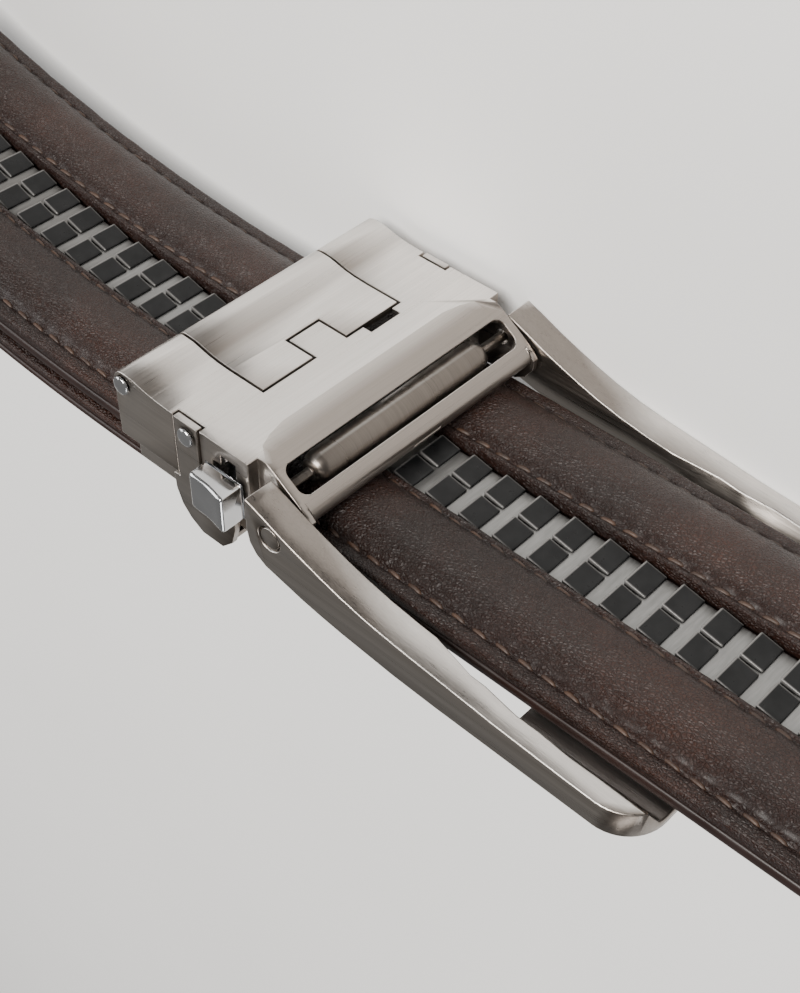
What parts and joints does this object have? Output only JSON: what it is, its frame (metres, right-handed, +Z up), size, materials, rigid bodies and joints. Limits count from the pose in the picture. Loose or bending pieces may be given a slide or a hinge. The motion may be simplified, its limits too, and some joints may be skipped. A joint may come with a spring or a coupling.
{
  "type": "ratchet belt",
  "caption": "Leather belt with a toothed inner track, fastened through a metal buckle with a release lever and a swinging keeper frame.",
  "frame": {"origin": "middle of the belt's footprint, on the surface that it stands on", "axes": "+X along the strap through the buckle, towards the swinging frame; +Y from the buckle to the far side of the loop; +Z up, across the strap"},
  "size_m": [0.38, 0.2138, 0.0509],
  "materials": {
    "leather": "semi-gloss dark brown, fine grain",
    "lining": "smooth dark brown, burnished edges",
    "dark_steel": "satin, near black",
    "satin_nickel": "finely brushed, slightly warm",
    "chrome": "polished"
  },
  "bodies": {
    "strap_and_housing": {"strap_lining": "lining", "band_upper": "leather", "band_lower": "leather", "ratchet_track": "dark_steel", "housing": "satin_nickel", "cover_pin": "chrome", "clamp_bracket": "satin_nickel", "guide_bar": "satin_nickel", "frame_pin_upper": "satin_nickel", "frame_pin_lower": "satin_nickel"},
    "cover": {"cover_plate": "satin_nickel"},
    "lever": {"release_lever": "chrome"},
    "frame": {"buckle_frame": "satin_nickel"}
  },
  "joints": [
    {"name": "cover_hinge", "type": "hinge", "parent": "strap_and_housing", "child": "cover", "pos_m": [-0.04816, -0.09043, 0.025], "axis": [0, 0, 1], "range_deg": [0, 95]},
    {"name": "lever_hinge", "type": "hinge", "parent": "strap_and_housing", "child": "lever", "pos_m": [-0.03676, -0.09163, 0.025], "axis": [0, 0, 1], "range_deg": [0, 11], "stiffness_Nm_per_rad": 0.02, "springref_deg": -17.19},
    {"name": "frame_hinge", "type": "hinge", "parent": "strap_and_housing", "child": "frame", "pos_m": [-0.02026, -0.09503, 0.025], "axis": [0, 0, 1], "range_deg": [-60, 0]}
  ]
}
